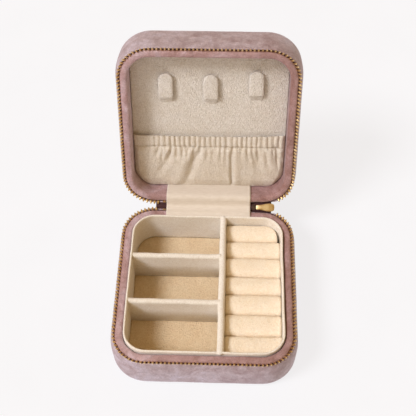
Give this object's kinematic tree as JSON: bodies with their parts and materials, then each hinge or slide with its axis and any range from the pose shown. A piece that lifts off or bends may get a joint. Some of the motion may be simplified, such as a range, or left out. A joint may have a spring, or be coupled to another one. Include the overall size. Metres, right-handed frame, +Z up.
{
  "type": "travel jewelry case",
  "caption": "Small square zip-round travel jewelry case in pink velvet, open, with a cream lined tray, ring rolls, gathered lid pocket and necklace hooks.",
  "frame": {"origin": "middle of the base's underside", "axes": "+Z up from the surface the base stands on, +X to the right, +Y towards the hinge at the back"},
  "size_m": [0.1, 0.155, 0.1181],
  "materials": {
    "dusty_pink_velvet": "short pile velvet",
    "cream_microsuede": "matte suede nap",
    "foam": "open foam",
    "shell_board": "pressed board",
    "zip_tape": "woven tape",
    "elastic": "knitted elastic",
    "zip_metal": "polished"
  },
  "bodies": {
    "base": {"base_rim_core": "shell_board", "base_rim_velvet": "dusty_pink_velvet", "base_shell": "shell_board", "base_velvet_cover": "dusty_pink_velvet", "base_zip_tape": "zip_tape", "base_zip_teeth": "zip_metal", "base_zip_top_stop": "zip_metal", "cross_divider_front": "cream_microsuede", "cross_divider_rear": "cream_microsuede", "hinge_strap": "cream_microsuede", "long_divider": "cream_microsuede", "ring_bed_board": "shell_board", "ring_foam_1": "foam", "ring_foam_2": "foam", "ring_foam_3": "foam", "ring_foam_4": "foam", "ring_foam_5": "foam", "ring_foam_6": "foam", "ring_foam_7": "foam", "ring_roll_1": "cream_microsuede", "ring_roll_2": "cream_microsuede", "ring_roll_3": "cream_microsuede", "ring_roll_4": "cream_microsuede", "ring_roll_5": "cream_microsuede", "ring_roll_6": "cream_microsuede", "ring_roll_7": "cream_microsuede", "spine_velvet": "dusty_pink_velvet", "tray_floor": "cream_microsuede", "tray_wall": "cream_microsuede"},
    "lid": {"lid_foam_pad": "foam", "lid_panel": "cream_microsuede", "lid_rim_core": "shell_board", "lid_rim_velvet": "dusty_pink_velvet", "lid_shell": "shell_board", "lid_velvet_cover": "dusty_pink_velvet", "lid_zip_tape": "zip_tape", "lid_zip_teeth": "zip_metal", "lid_zip_top_stop": "zip_metal", "necklace_hook_1": "cream_microsuede", "necklace_hook_2": "cream_microsuede", "necklace_hook_3": "cream_microsuede", "pocket": "cream_microsuede", "pocket_elastic": "elastic"},
    "zip_end": {"zip_end_stop": "zip_metal", "zip_end_tape": "zip_tape"},
    "slider": {"zip_slider": "zip_metal", "zip_slider_bridge": "zip_metal"},
    "pull": {"zip_pull": "zip_metal"}
  },
  "joints": [
    {"name": "lid_hinge", "type": "hinge", "parent": "base", "child": "lid", "pos_m": [0, 0.05, 0.0245], "axis": [1, 0, 0], "range_deg": [0, 110], "deforming": ["spine_velvet", "hinge_strap"]},
    {"name": "zip_end_follow", "type": "hinge", "parent": "base", "child": "zip_end", "pos_m": [0, 0.05, 0.0245], "axis": [1, 0, 0], "range_deg": [0, 55]},
    {"name": "zip_slide", "type": "slide", "parent": "zip_end", "child": "slider", "axis": [1, 0, 0], "range_m": [0, 0.0015]},
    {"name": "pull_swing", "type": "hinge", "parent": "slider", "child": "pull", "pos_m": [0.03235, 0.0514, 0.02249], "axis": [0, 0.8192, 0.5736], "range_deg": [-65, 65]}
  ],
  "couplings": [
    {"joint": "zip_end_follow", "follows": "lid_hinge", "ratio": 0.5}
  ]
}
